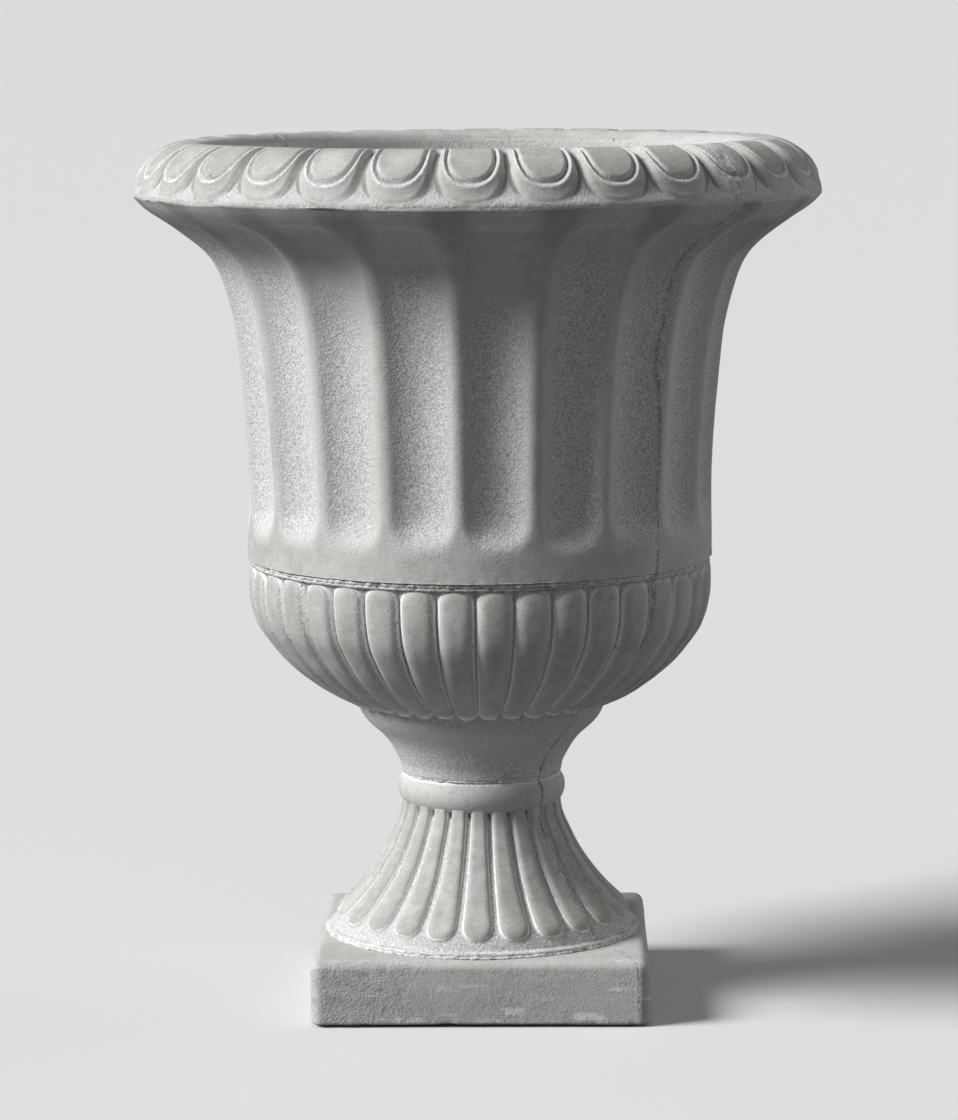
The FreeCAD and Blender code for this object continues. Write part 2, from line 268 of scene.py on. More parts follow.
def mark_cap_edges(mesh, columns, rows):
    """Sharp edges round the two end caps, so that the caps don't bend the shading."""
    ends = np.zeros(len(mesh.edges) * 2, np.int32)
    mesh.edges.foreach_get("vertices", ends)
    column = ends.reshape(-1, 2) // rows
    sharp = (column[:, 0] == column[:, 1]) & np.isin(column[:, 0], [0, columns - 1])
    layer = mesh.attributes.new("sharp_edge", "BOOLEAN", "EDGE")
    layer.data.foreach_set("value", sharp)


# %% [markdown]
# ## Carving
#
# A ring of ornament is one cell repeated. In a cell, `across` runs from -1 to 1 and
# `along` is the distance down the section. Real carving is uneven, so each copy is moved
# and widened a little by its own random numbers.

# %% Cells
def cells(angles, count, turn, seed, sway=0.012):
    """Place across its cell, from -1 to 1, and the cell's number, at each angle."""
    pitch = 2 * np.pi / count
    at = (angles - math.radians(turn)) / pitch + 0.5
    number = np.floor(at).astype(int) % count
    across = 2 * (at - np.floor(at)) - 1
    jitter = np.random.default_rng(seed).uniform(-1, 1, (count, 6))
    lean = jitter[number, 0] * sway * 2
    return across + lean * (1 - across ** 2), number, jitter


# %% The levels of the castings
def underside(node):
    """Height of a casting's lowest points."""
    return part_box(node)[0].z


def top_of(node):
    """Height of a casting's highest points."""
    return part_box(node)[1].z


BOX_GAP = 0.02 * mm           # the stone stays this far inside the model's own boxes
RIM_LIFT = 0.5 * mm           # the crest is drawn this much higher, before it is worn
SPIGOT = 8 * mm               # the bowl's neck goes on this far down, inside the foot
body_low, bowl_top = underside("fluted_body"), top_of("gadrooned_bowl")
rim_top = top_of("fluted_body") + RIM_LIFT
bowl_low = underside("gadrooned_bowl") + SPIGOT
foot_low, foot_top = underside("fluted_foot"), top_of("fluted_foot")
plinth_low, plinth_top = underside("square_plinth"), top_of("square_plinth")
plinth_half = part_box("square_plinth")[1].x
print("rim %.0f mm high, joints at %.0f, %.0f and %.0f mm"
      % tuple(1e3 * h for h in (rim_top, body_low, bowl_low, foot_low)))

# %% [markdown]
# ## Wear
#
# Cast stone is never true. Slow waves, lumps and grains push every surface in or out by
# less than a millimetre. The mould was in two halves, and where they met a crumbly line
# runs down both sides of the urn. Its distance is kept on every point, so that the
# material can draw it finely.

# %% Wear
SEAM = math.radians(-42.0)    # the parting line in front, right of the middle
WEAR = [(0.6, 130), (0.35, 45), (0.16, 14), (0.07, 4)]      # push and size of noise, mm


def seam_distance(angles, points):
    """Signed distance to the parting plane in mm: radius * sin(angle - seam + wander)."""
    wander = 0.030 * field(points, 150 * mm, 3.0) + 0.012 * field(points, 38 * mm, 5.0)
    radius = np.hypot(points[..., 0], points[..., 1])
    return radius * np.sin(angles - SEAM + wander) / mm


def seam_ridge(distance, points, height):
    """Flash left between the mould halves: a crumbly ridge, broken by noise, in mm."""
    crumbs = np.clip(0.5 + 1.1 * field(points, 9 * mm, 2.0), 0, 1.5)
    ridge = height * crumbs * bell(distance - 1.2, 1.7)
    return ridge - 0.35 * height * bell(distance + 1.8, 1.3)


def weathered(points, facing, strength=1.0):
    """Points moved along their normals by slow waves, lumps and small grains."""
    push = sum(depth * field(points, size * mm, shift)
               for shift, (depth, size) in enumerate(WEAR, 1))
    return points + facing * (push * strength * mm)[..., None]


def aged(points, facing, seam, flash, strength=1.0, crumbs=0.0):
    """Points with the mould's flash and crumbs, both in mm, and then the weathering."""
    ridge = seam_ridge(seam, points, flash) + crumbs
    return weathered(points + facing * (ridge * mm)[..., None], facing, strength)


def inside_box(points, node):
    """Points held within the node's own box, so that wear never makes it bigger."""
    lowest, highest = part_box(node)
    return np.clip(points, np.array(lowest) + BOX_GAP, np.array(highest) - BOX_GAP)


# %% Turned surfaces
def full_turn(columns):
    """Angles of the columns once round, as a column of numbers."""
    return np.linspace(0, 2 * math.pi, columns + 1)[:-1, None]


def turned_grid(angle, line, normals, push):
    """Points of a turned surface: the section line, pushed along its normals, swung."""
    angles = angle + 0 * push
    radius = line[:, 0] + normals[:, 0] * push
    height = line[:, 1] + normals[:, 1] * push
    points = np.stack([radius * np.cos(angles), radius * np.sin(angles), height], -1)
    facing = np.stack([normals[:, 0] * np.cos(angles), normals[:, 0] * np.sin(angles),
                       normals[:, 1] + 0 * angles], -1)
    return points, facing


def stone_ring(name, points, hollow, lime, seam, flip=True, closed=True):
    """Mesh of a surface with its three marks. Flipping turns its faces outwards."""
    order = slice(None, None, -1 if flip else 1)
    marks = {"hollow": hollow[order], "lime": lime[order], "seam": seam[order]}
    return ring_mesh(name, points[order], marks, closed)


# %% [markdown]
# ## The rolled rim
#
# Thirty tongues lap over the roll of the rim, each with a raised oval inside a moulded
# band. A stamp or a displacement picture could do it; a formula keeps every edge crisp at
# any size. Below its lower arris the rim runs straight in, to where the wall's flare
# comes up. It is made in three arcs, parted at the grooves between tongues, so that each
# stays light enough.

# %% Rim sizes
RIM_TONGUES, RIM_TURN, RIM_SEED = 30, -90.0, 21
RIM_ARCS, ARC_COLUMNS = 3, 671
MOUTH_ROWS, FACE_ROWS, UNDER_ROWS = 22, 103, 10
OVAL = {"half": 0.665, "straight": 0.5, "power": 2.4, "reach": 20}
TONGUE = {"half": 0.95, "straight": 0.52, "power": 2.35, "reach": 28}
OVAL_RISE, GROOVE_DEPTH, FRAME_RISE, BAND_DEPTH, GAP_DEPTH = 1.3, 1.8, 0.9, 1.9, 4.9
TIP_TO_ARRIS, OVAL_TO_ARRIS = 4.2, 26.0
RIM_FLASH = 0.8
rim_radius, rim_width, rim_depth = 299 * mm, 59 * mm, 55.5 * mm
waist_radius, mouth_radius, inner_radius = 202 * mm, 236 * mm, 169 * mm
rim_base = rim_top - rim_depth
rim_shape = [(0, 0.045), (0.16, 0.020), (0.31, 0.030), (0.44, 0.070), (0.565, 0.135),
             (0.675, 0.22), (0.77, 0.315), (0.84, 0.415), (0.905, 0.535), (0.965, 0.65),
             (1, 0.76), (0.994, 0.825)]
rim_arris = (0.978, 0.868)
rim_under = [(0.94, 0.874), (0.85, 0.872), (0.70, 0.860)]
inner_wall_shape = [(0, 0), (0, 0.21), (0.03, 0.37), (0.145, 0.54), (0.32, 0.675),
                    (0.56, 0.77), (0.79, 0.85), (0.94, 0.935), (1, 1)]
inner_wall = natural_spline(shares(
    inner_wall_shape, (inner_radius, mouth_radius), (body_low, rim_top)))
print("rim %.0f mm across, mouth %.0f mm" % (2e3 * rim_radius, 2e3 * mouth_radius))

# %% Rim carving
def from_outline(across, along, tip, half, straight, power, reach):
    """About the distance in mm from a round-ended outline, below 0 inside it."""
    past = np.maximum(along / tip - straight, 0) / (1 - straight)
    return (rounded(across / half, past, power) - 1) * reach


def rim_relief(across, along, arris, number, jitter):
    """Oval, groove, frame edge, tongue and filler, as a height in millimetres."""
    tip = arris - TIP_TO_ARRIS + 0.7 * jitter[number, 1]
    oval_tip = arris - OVAL_TO_ARRIS + 0.8 * jitter[number, 2]
    from_oval = from_outline(across, along, oval_tip, **OVAL)
    from_tongue = from_outline(across, along, tip, **TONGUE)
    oval = OVAL_RISE * (1 - smooth_step(-2.2, 0.4, from_oval))
    groove = -GROOVE_DEPTH * bell(from_oval - 1.0, 1.4)
    edge = FRAME_RISE * bell(from_oval - 3.4, 1.5)
    band = -BAND_DEPTH * smooth_step(3.5, 10, from_oval)
    on_tongue = 1 - smooth_step(-4.5, 1.1, from_tongue)
    flush = smooth_step(tip - 12, arris, along)
    gap = -GAP_DEPTH * (1 - on_tongue) * (1 - 0.72 * flush)
    carved = (oval + groove + edge + band) * on_tongue + gap
    under = 1 - smooth_step(arris + 0.5, arris + 5, along)
    return carved * smooth_step(4, 19, along) * under, from_oval, from_tongue


def rim_marks(along, arris, from_oval, from_tongue, worn, sandy_oval):
    """Sand in the gaps and grooves; lime on the frames and the arris, darker grooves beside
    them, a painted shadow line round each tongue's edge and painted shade under the arris.
    """
    # Painted shade below the arris: the stone there is made less sandy and darker.
    under = smooth_step(arris - 2, arris + 3, along)
    on_oval = 1 - smooth_step(-3, -1, from_oval)
    near_tip = smooth_step(arris - 22, arris - 10, along)
    hollow = (smooth_step(-1.6, 0.4, from_tongue) * 0.45 - 0.15 * on_oval
              + 0.8 * bell(from_oval - 0.9, 1.6) + worn * 0.8 - 0.5 * under
              + sandy_oval * bell(along - 38, 16)) * smooth_step(6, 20, along)
    # Darker grooves round the ovals and between the tongues. The thin dark line all round
    # each tongue's edge is painted shadow, put there for the shade under the tips.
    lime = (0.6 * bell(from_oval - 3.6, 1.5) - 0.7 * bell(from_oval - 0.8, 1.3)
            - 0.7 * bell(from_tongue - 1.5, 2.5) * (1 - near_tip)
            - 0.5 * bell(from_tongue - 0.4, 1.3)) * smooth_step(4, 20, along)
    lime += 0.5 * bell(along - arris, 2.5) - 0.4 * under
    return hollow + 0.4 * (along < -8), lime


# %% Rim section
def rim_section():
    """Inner wall, crest and roll down to the arris, then in under the rim.

    With the line come each point's distance from the crest and the arris's, in mm, and
    the points behind that close the section."""
    level = inner_wall[:, 1]
    lip = inner_wall[(level > rim_top - 54 * mm) & (level < rim_top - 11 * mm)]
    span = (rim_radius - rim_width, rim_radius), (rim_top, rim_base)
    crest = shares(rim_shape + [rim_arris], *span)
    under = shares([rim_arris] + rim_under, *span)
    mouth_edge = points_from(mouth_radius, rim_top, [(-0.6, -6.5)])
    face = natural_spline(np.concatenate([lip[::12], mouth_edge, crest]), 900)
    line = np.concatenate([face, natural_spline(under, 100)[1:]])
    start = distance_along(line)[np.argmin(np.hypot(*(line - crest[0]).T))]
    arris = distance_along(face)[-1]
    end = distance_along(line)[-1]
    at = np.r_[np.linspace(0, start, MOUTH_ROWS)[:-1],
               np.linspace(start, arris - 1.0 * mm, FACE_ROWS),
               arris + np.array([-0.45, 0, 0.5]) * mm,
               np.linspace(arris + 1.5 * mm, end, UNDER_ROWS)]
    back = points_from(rim_radius, rim_base, [(-24, 2), (-40, 18), (-68, 8)])
    return resampled(line, at), (at - start) / mm, (arris - start) / mm, back


def make_rim():
    """The section swung through an arc at a time, pushed along its normals by relief."""
    line, along, arris, back = rim_section()
    section = np.concatenate([line, back])
    normals = -outward(section)
    rows = np.arange(len(line))
    turn = 2 * math.pi / RIM_ARCS
    arcs = []
    for k in range(RIM_ARCS):
        start = math.radians(RIM_TURN) - math.pi / RIM_TONGUES + k * turn
        angle = np.linspace(start, start + turn, ARC_COLUMNS)[:, None]
        push = np.zeros((len(angle), len(section)))
        across, number, jitter = cells(angle, RIM_TONGUES, RIM_TURN, RIM_SEED)
        relief, from_oval, from_tongue = rim_relief(
            across, np.maximum(along, 0.01), arris, number, jitter)
        points, facing = turned_grid(angle, section, normals, push)
        seam = seam_distance(angle, points)
        worn = bell(seam[:, rows] + 6, 11)
        crumble = rough(points[:, rows], 9 * mm, 3)
        relief = relief * (1 - 0.6 * worn) + worn * 0.9 * crumble
        push[:, rows] = (relief + 0.4 * bell(along - arris, 5) * crumble) * mm
        points, facing = turned_grid(angle, section, normals, push)
        points = aged(points, facing, seam, RIM_FLASH)
        wave = field(points * [1, 1, 0], 85 * mm, 9.0) - 0.35
        crest = smooth_step(rim_top - 30 * mm, rim_top, points[..., 2])
        points[..., 2] += 0.7 * wave * mm * crest
        sandy_oval = np.clip(0.5 * jitter[number, 4], 0, 1) * bell(across, 0.4)
        hollow, lime = np.zeros(push.shape), np.zeros(push.shape)
        hollow[:, rows], lime[:, rows] = rim_marks(
            along, arris, from_oval, from_tongue, worn, sandy_oval)
        arcs.append(stone_ring("rim_arc_%d" % (k + 1), inside_box(points, "fluted_body"),
                               hollow, lime, seam, closed=False))
    return arcs


rim_arcs = make_rim()

# %% [markdown]
# ## The fluted wall
#
# Twenty wide hollows with round ends run up the body, with soft ridges between. They
# could be cut with twenty tools and a boolean; a depth worked out for every point gives
# the soft ridge and the round end in one go. Each hollow keeps a sandy skin where the
# mould was rough, and that sandy patch is different in each.

# %% Flutes
FLUTES, FLUTE_TURN, FLUTE_SEED = 20, -84.8, 5
FLUTE_DEPTH, FLUTE_LOW_GAP, FLUTE_HIGH_GAP = 9.4, 25.0, 18.0
FLUTE_POWER, RIDGE_START = 2.6, 0.78      # squareness; share where the ridge begins
HALF_FLUTE = math.pi * waist_radius / mm / FLUTES
WALL_COLUMNS, WALL_ROWS, INSIDE_ROWS = 800, 88, 23
WALL_FLASH = 1.0
flare_radius = 291 * mm
flare_shape = [(0, 0), (0, 0.13), (0.005, 0.25), (0.021, 0.33), (0.047, 0.435),
               (0.084, 0.5475), (0.136, 0.66), (0.231, 0.77), (0.308, 0.828),
               (0.389, 0.863), (0.521, 0.8986), (0.670, 0.931), (0.825, 0.963), (1, 1),
               (1.068, 1.0215)]
print("half a flute is %.1f mm wide at the waist" % HALF_FLUTE)


def flute_relief(across, along, length, number, jitter):
    """Concave flute with a rounded ridge each side and rounded ends, in millimetres."""
    low_end = FLUTE_LOW_GAP + HALF_FLUTE + 2.0 * jitter[number, 1]
    high_end = length - FLUTE_HIGH_GAP - HALF_FLUTE
    past = np.maximum(np.maximum(low_end - along, along - high_end), 0) / HALF_FLUTE
    reach = np.minimum(rounded(across, past, FLUTE_POWER), 1)
    depth = np.where(reach < RIDGE_START, 1 - reach ** 2 / RIDGE_START,
                     (1 - reach) ** 2 / (1 - RIDGE_START))
    return -FLUTE_DEPTH * depth


def flute_sand(across, along, length, number, jitter):
    """Where a flute is sandy: its middle, from its low end up to a height of its own."""
    shift = 0.12 * jitter[number, 3]
    middle = 1 - smooth_step(0.35, 1.05, np.abs(across - shift))
    top = length - 70 + 50 * jitter[number, 4]
    rise = 1 - smooth_step(top - 70, top + 60, along)
    foot = smooth_step(FLUTE_LOW_GAP - 10, FLUTE_LOW_GAP + 26, along)
    return middle * rise * foot


# %% Wall
def wall_section():
    """Foot, outside, top inside the rim and inner wall, with the outside's distances."""
    line = natural_spline(shares(
        flare_shape, (waist_radius, flare_radius), (body_low, rim_base + 0.5 * mm)), 900)
    end = distance_along(line)[-1] / mm
    along = np.r_[[0, 0.5, 1.1, 2.2, 4], np.linspace(7, end - 2.5, WALL_ROWS),
                  end - 1.2, end - 0.4, end] * mm
    outer = resampled(line, along)
    outer[0] += [0, 0.25 * mm]
    inner = spaced(inner_wall[inner_wall[:, 1] < rim_top - 53 * mm], INSIDE_ROWS)[0][::-1]
    foot = points_from(waist_radius, body_low, [(-5, 0), (-0.9, 0)])
    lift = points_from(rim_radius, rim_base, [(-2.6, 12.5), (-12, 13), (-66, 5)])
    return np.concatenate([foot, outer, lift, inner]), len(foot), along


def make_wall():
    """The section swung round, its outside pushed in by the flutes."""
    section, first, along = wall_section()
    normals = outward(section)
    angle = full_turn(WALL_COLUMNS)
    push = np.zeros((len(angle), len(section)))
    rows = first + np.arange(len(along))
    across, number, jitter = cells(angle, FLUTES, FLUTE_TURN, FLUTE_SEED, sway=0.01)
    spot = (across, along / mm, along[-1] / mm, number, jitter)
    push[:, rows] = flute_relief(*spot) * mm
    points, facing = turned_grid(angle, section, normals, push)
    seam = seam_distance(angle, points)
    edge = bell((points[..., 2] - body_low) / mm, 3.0) * rough(points, 8 * mm, 2, 4.0) * 0.5
    points = aged(points, facing, seam, WALL_FLASH, crumbs=edge)
    hollow, lime = np.zeros(push.shape), np.zeros(push.shape)
    # Painted shade under the rim, partly a stain: towards the top the ridges are darkened
    # towards the stain and dirt colours, and the flutes' tops are made sandier.
    shade = smooth_step(along[-1] - 85 * mm, along[-1] - 15 * mm, along)
    in_flute = 1 - smooth_step(0.35, 0.9, np.abs(across))
    hollow[:, rows] = (flute_sand(*spot) + 0.5 * bell(seam[:, rows], 9)
                       + shade * (0.7 * in_flute - 0.5))
    hollow[:, -INSIDE_ROWS:] = 0.4
    lime[:, rows] = 0.35 * bell(along / mm, 2.5) - 0.4 * shade * (1 - 1.6 * in_flute)
    return stone_ring("fluted_wall", inside_box(points, "fluted_body"), hollow, lime, seam)


wall = make_wall()

# %% [markdown]
# ## The gadrooned bowl
#
# Thirty-eight round-headed lobes swell below the joint and run in to a ragged ledge. A
# power of the reach across a lobe gives its full back and steep sides. The plain neck
# under them is a piece of its own, together with the floor and the bore.

# %% Gadroons
GADROONS, GADROON_TURN, GADROON_SEED = 38, -85.5, 8
LOBE_COLUMNS, BELLY_ROWS = 26, 88
GADROON_DEPTH, CHANNEL_DEPTH, LOBE_FULLNESS = 5.6, 1.6, 3.8
HEAD_FILL = 0.3               # share of the depth that is filled at the lobes' heads
BOWL_FLASH = 0.9
belly_radius = 201.5 * mm
belly_shape = [(0, 0), (0.165, 0.0535), (0.34, 0.127), (0.52, 0.22), (0.65, 0.301),
               (0.80, 0.4255), (0.915, 0.545), (0.972, 0.66), (0.997, 0.775),
               (1, 0.86), (0.998, 0.956), (0.993, 1)]
ledge_radius, ledge_rise = 116 * mm, 62.5 * mm
HALF_GADROON = math.pi * belly_radius / mm / GADROONS
print("half a gadroon is %.1f mm wide" % HALF_GADROON)


def gadroon_relief(across, along, length, number, jitter):
    """Convex lobe with a round head, in millimetres below the lobe's crown."""
    top = length - 1.0 - HALF_GADROON + 1.0 * jitter[number, 1]
    past = np.maximum(along - top, 0) / HALF_GADROON
    reach = rounded(across * (1.03 + 0.02 * jitter[number, 2]), past, 2.0)
    lobe = GADROON_DEPTH * np.minimum(reach, 1) ** LOBE_FULLNESS
    filled = smooth_step(length - 15, length - 3, along)
    channel = CHANNEL_DEPTH * smooth_step(0.92, 1.0, np.abs(across))
    channel = channel * smooth_step(2, 14, along)
    return -lobe * (1 - HEAD_FILL * filled) - channel * (1 - filled), reach


def gadroon_marks(across, at, length, reach, worn):
    """Sand down the flanks; lime round each head and on the ledge, darker along the
    channels between lobes.
    """
    flank = smooth_step(0.6, 0.92, reach)
    right_flank = smooth_step(0.2, 0.85, across) * smooth_step(4, 30, at)
    hollow = 0.55 * flank + 0.4 * right_flank + 0.5 * bell(at, 9) + 0.4 * worn - 0.1
    outline = bell(reach - 0.91, 0.06) * smooth_step(6, 24, at)
    lime = (1.4 * outline + 0.75 * bell(at - 2, 6) + 0.5 * bell(at - length, 4)
            - 0.9 * bell(np.abs(across) - 1, 0.06) * smooth_step(8, 30, at))
    return hollow, lime


# %% Bowl
def make_gadroons():
    """The belly's outline swung round, pushed in between the lobes."""
    belly = natural_spline(shares(belly_shape, (ledge_radius, belly_radius),
                                  (bowl_low + ledge_rise, bowl_top)), 900)
    length = distance_along(belly)[-1]
    along = np.r_[np.linspace(0, length - 3 * mm, BELLY_ROWS),
                  length - np.array([2, 1.1, 0.5, 0]) * mm]
    line = resampled(belly, along)
    top = points_from(belly_radius, bowl_top, [(-12, 0), (-16, 0), (-20, -40)])
    ledge = points_from(ledge_radius, bowl_low + ledge_rise, [(-2, 18), (-12, 3)])
    section = np.concatenate([line, top, ledge])
    normals = outward(section)
    angle = full_turn(GADROONS * LOBE_COLUMNS)
    across, number, jitter = cells(angle, GADROONS, GADROON_TURN, GADROON_SEED, sway=0.02)
    push = np.zeros((len(angle), len(section)))
    rows = np.arange(len(line))
    at, length = along / mm, along[-1] / mm
    relief, reach = gadroon_relief(across, at, length, number, jitter)
    push[:, rows] = relief * mm
    points, facing = turned_grid(angle, section, normals, push)
    seam = seam_distance(angle, points)
    worn = bell(seam[:, rows], 4)
    ragged = bell(at, 5.0) * 1.3 * rough(points[:, rows], 10 * mm, 3, 7.0)
    push[:, rows] += (ragged + 0.5 * worn * field(points[:, rows], 6 * mm)) * mm
    points, facing = turned_grid(angle, section, normals, push)
    points = aged(points, facing, seam, BOWL_FLASH)
    hollow, lime = np.zeros(push.shape), np.zeros(push.shape)
    hollow[:, rows], lime[:, rows] = gadroon_marks(across, at, length, reach, worn)
    return stone_ring("gadroon_ring", inside_box(points, "gadrooned_bowl"), hollow, lime,
                      seam)


gadroons = make_gadroons()

# %% Neck
NECK_COLUMNS, NECK_ROWS, BOWL_ROWS, BORE_ROWS, FLOOR_ROWS = 480, 60, 30, 12, 16
neck_shape = [(0, 0), (0.03, 0.098), (0.12, 0.212), (0.2625, 0.355), (0.45, 0.489),
              (0.70, 0.62), (0.875, 0.752), (1, 1)]
inner_bowl_shape = [(0, 0), (0.34, 0.06), (0.66, 0.24), (0.88, 0.5), (0.98, 0.78), (1, 1)]
neck_radius, floor_radius, floor_rise = 70 * mm, 104 * mm, 104.5 * mm
drain_radius, spigot_radius = 26 * mm, 44 * mm


def neck_section():
    """Neck, the shell behind the gadroons, the inside of the bowl, bore and spigot."""
    floor = bowl_low + floor_rise
    neck, _ = spaced(natural_spline(shares(
        neck_shape, (neck_radius, ledge_radius - 6 * mm),
        (bowl_low, bowl_low + ledge_rise + 6 * mm))), NECK_ROWS)
    inner, _ = spaced(natural_spline(shares(
        inner_bowl_shape, (floor_radius, inner_radius), (floor, bowl_top))), BOWL_ROWS)
    ledge = points_from(ledge_radius, bowl_low + ledge_rise, [(10, 22)])
    shell = points_from(belly_radius, bowl_top, [(-19, -36), (-14, -0.4)])
    bore, _ = spaced(np.array([(drain_radius, floor),
                               (drain_radius, bowl_low - SPIGOT)]), BORE_ROWS)
    flat, _ = spaced(np.array([(floor_radius - 2 * mm, floor),
                               (drain_radius + 1 * mm, floor)]), FLOOR_ROWS)
    spigot = np.array([(spigot_radius, bowl_low - SPIGOT), (spigot_radius, bowl_low)])
    return np.concatenate([neck, ledge, shell, inner[::-1], flat, bore, spigot])


def make_neck():
    """The section above swung round: one closed ring."""
    section = neck_section()
    normals = outward(section)
    angle = full_turn(NECK_COLUMNS)
    push = np.zeros((len(angle), len(section)))
    points, facing = turned_grid(angle, section, normals, push)
    seam = seam_distance(angle, points)
    rows = np.arange(NECK_ROWS)
    worn = bell(seam[:, rows] - 8, 12) * rough(points[:, rows], 9 * mm, 3)
    push[:, rows] = 0.45 * mm * worn
    points, facing = turned_grid(angle, section, normals, push)
    points = aged(points, facing, seam, BOWL_FLASH, strength=0.8)
    share = rows / NECK_ROWS
    hollow, lime = 0.25 + 0 * push, 0 * push
    hollow[:, rows] = (0.4 + 0.3 * bell(share - 0.16, 0.16)
                       + 0.4 * smooth_step(0.75, 1, share))
    hollow[:, rows] += 0.6 * bell(seam[:, rows] - 6, 16)
    lime[:, rows] = 0.45 * smooth_step(0.8, 1.0, share)
    return stone_ring("neck_and_floor", inside_box(points, "gadrooned_bowl"), hollow, lime,
                      seam)


neck = make_neck()

# %% [markdown]
# ## The foot
#
# The foot is one casting, but three surfaces: the flared socle with its flat-backed
# tongues, the swelled collar above and the thin lip that lies on the plinth.

# %% Socle
TONGUES, TONGUE_TURN, TONGUE_SEED = 24, -91.0, 14
TONGUE_COLUMNS, SOCLE_ROWS = 42, 92
TONGUE_RISE, VOID_DEPTH, TONGUE_FULLNESS = 4.0, 2.2, 5.5
PLAIN_TOP = 6                 # mm of the socle that lie under the collar
SOCLE_FLASH, TURNED_FLASH = 0.8, 0.6
foot_shape = [(0, 1), (0.018, 0.883), (0.07, 0.79), (0.139, 0.70), (0.216, 0.605),
              (0.313, 0.51), (0.433, 0.41), (0.575, 0.305), (0.73, 0.21),
              (0.873, 0.125), (0.948, 0.062), (1, 0)]
socle_top_radius, socle_low_radius = 65.5 * mm, 133.5 * mm
lip_radius, lip_height = 137 * mm, 3 * mm
collar_height, collar_radius, collar_edge = 26.5 * mm, 73.5 * mm, 67.5 * mm
HALF_TONGUE = math.pi * socle_low_radius / mm / TONGUES
print("half a tongue is %.1f mm wide at the foot" % HALF_TONGUE)


def socle_relief(across, along, length, number, jitter):
    """Flat-backed tongue with a round end, in millimetres above the groove."""
    tip = length - 10.5 + 0.8 * jitter[number, 1]
    past = np.maximum(along - (tip - HALF_TONGUE), 0) / HALF_TONGUE
    width = 0.80 + 0.08 * smooth_step(0, length, along)
    reach = rounded(across / width, past, 2.4)
    back = TONGUE_RISE * (1 - np.minimum(reach, 1) ** TONGUE_FULLNESS)
    void = -VOID_DEPTH * bell(along - 3.5, 3.0) * smooth_step(0.98, 1.1, reach)
    return back + void, reach


# %% Foot
def make_foot():
    """The grooves' outline swung round, pushed out by the tongues."""
    levels = foot_low + lip_height / 2, foot_top - collar_height + PLAIN_TOP * mm
    line, along = spaced(natural_spline(shares(
        foot_shape, (socle_top_radius, socle_low_radius), levels)), SOCLE_ROWS)
    back = np.array([(lip_radius - 9 * mm, foot_low + 1 * mm),
                     (60 * mm, foot_low + 30 * mm), (50 * mm, foot_top - 30 * mm)])
    section = np.concatenate([line, back])
    normals = -outward(section)
    angle = full_turn(TONGUES * TONGUE_COLUMNS)
    across, number, jitter = cells(angle, TONGUES, TONGUE_TURN, TONGUE_SEED, sway=0.02)
    push = np.zeros((len(angle), len(section)))
    rows = np.arange(len(line))
    at, length = along / mm - PLAIN_TOP, along[-1] / mm - PLAIN_TOP
    relief, reach = socle_relief(across, np.maximum(at, 0), length, number, jitter)
    push[:, rows] = relief * mm
    points, facing = turned_grid(angle, section, normals, push)
    seam = seam_distance(angle, points)
    points = aged(points, facing, seam, SOCLE_FLASH, strength=0.8)
    hollow, lime = np.zeros(push.shape), np.zeros(push.shape)
    hollow[:, rows] = (0.8 * smooth_step(0.86, 1.04, reach) - 0.12
                       + 0.3 * bell(across - 0.3, 0.4) * jitter[number, 2])
    # Lime round the tongues and low on the socle. The dark line just past each tongue's tip
    # is painted shadow; the grooves are also darker at their top, just under the collar.
    lime[:, rows] = (0.75 * bell(reach - 0.93, 0.06)
                     + 0.5 * smooth_step(length - 8, length - 1, at)
                     - 0.6 * bell(reach - 1.03, 0.05) * bell(at - length + 9, 9)
                     - 0.9 * bell(at - 2, 4) * smooth_step(0.95, 1.1, reach))
    return stone_ring("foot_tongues", inside_box(points, "fluted_foot"), hollow, lime,
                      seam, flip=False)


foot = make_foot()

# %% Collar and lip
def make_turning(name, section, columns, strength, lime, hollow):
    """A plain turned ring of the foot from a closed section, outside first."""
    normals = outward(section)
    angle = full_turn(columns)
    push = np.zeros((len(angle), len(section)))
    points, facing = turned_grid(angle, section, normals, push)
    seam = seam_distance(angle, points)
    points = aged(points, facing, seam, TURNED_FLASH, strength)
    return stone_ring(name, inside_box(points, "fluted_foot"), push + hollow, push + lime,
                      seam)


def arc(centre, radius, start, end, count):
    """Points on a circular arc, angles in degrees from +radius towards +level."""
    turn = np.radians(np.linspace(start, end, count))
    return np.c_[centre[0] + radius * np.cos(turn), centre[1] + radius * np.sin(turn)]


def make_collar():
    """Swelled band: an arc through both edges and the middle, then down to the bore."""
    sag = collar_radius - collar_edge
    half = collar_height / 2
    bend = (half ** 2 + sag ** 2) / (2 * sag)
    open_angle = math.degrees(math.asin(half / bend))
    swell = arc((collar_radius - bend, foot_top - half), bend, -open_angle, open_angle, 34)
    inside = [(60 * mm, foot_top), (45 * mm, foot_top), (45 * mm, foot_top - 10 * mm),
              (drain_radius, foot_top - 11 * mm), (drain_radius, foot_top - collar_height)]
    rise = np.r_[np.linspace(-1, 1, len(swell)), np.ones(len(inside))]
    crumbs = 0.8 * bell(rise - 0.85, 0.14) - 0.9 * bell(rise - 1.05, 0.1)
    return make_turning("collar", np.concatenate([swell, inside]), columns=480,
                        strength=0.8, lime=crumbs,
                        hollow=0.12 + 0.5 * bell(rise - 0.95, 0.3))


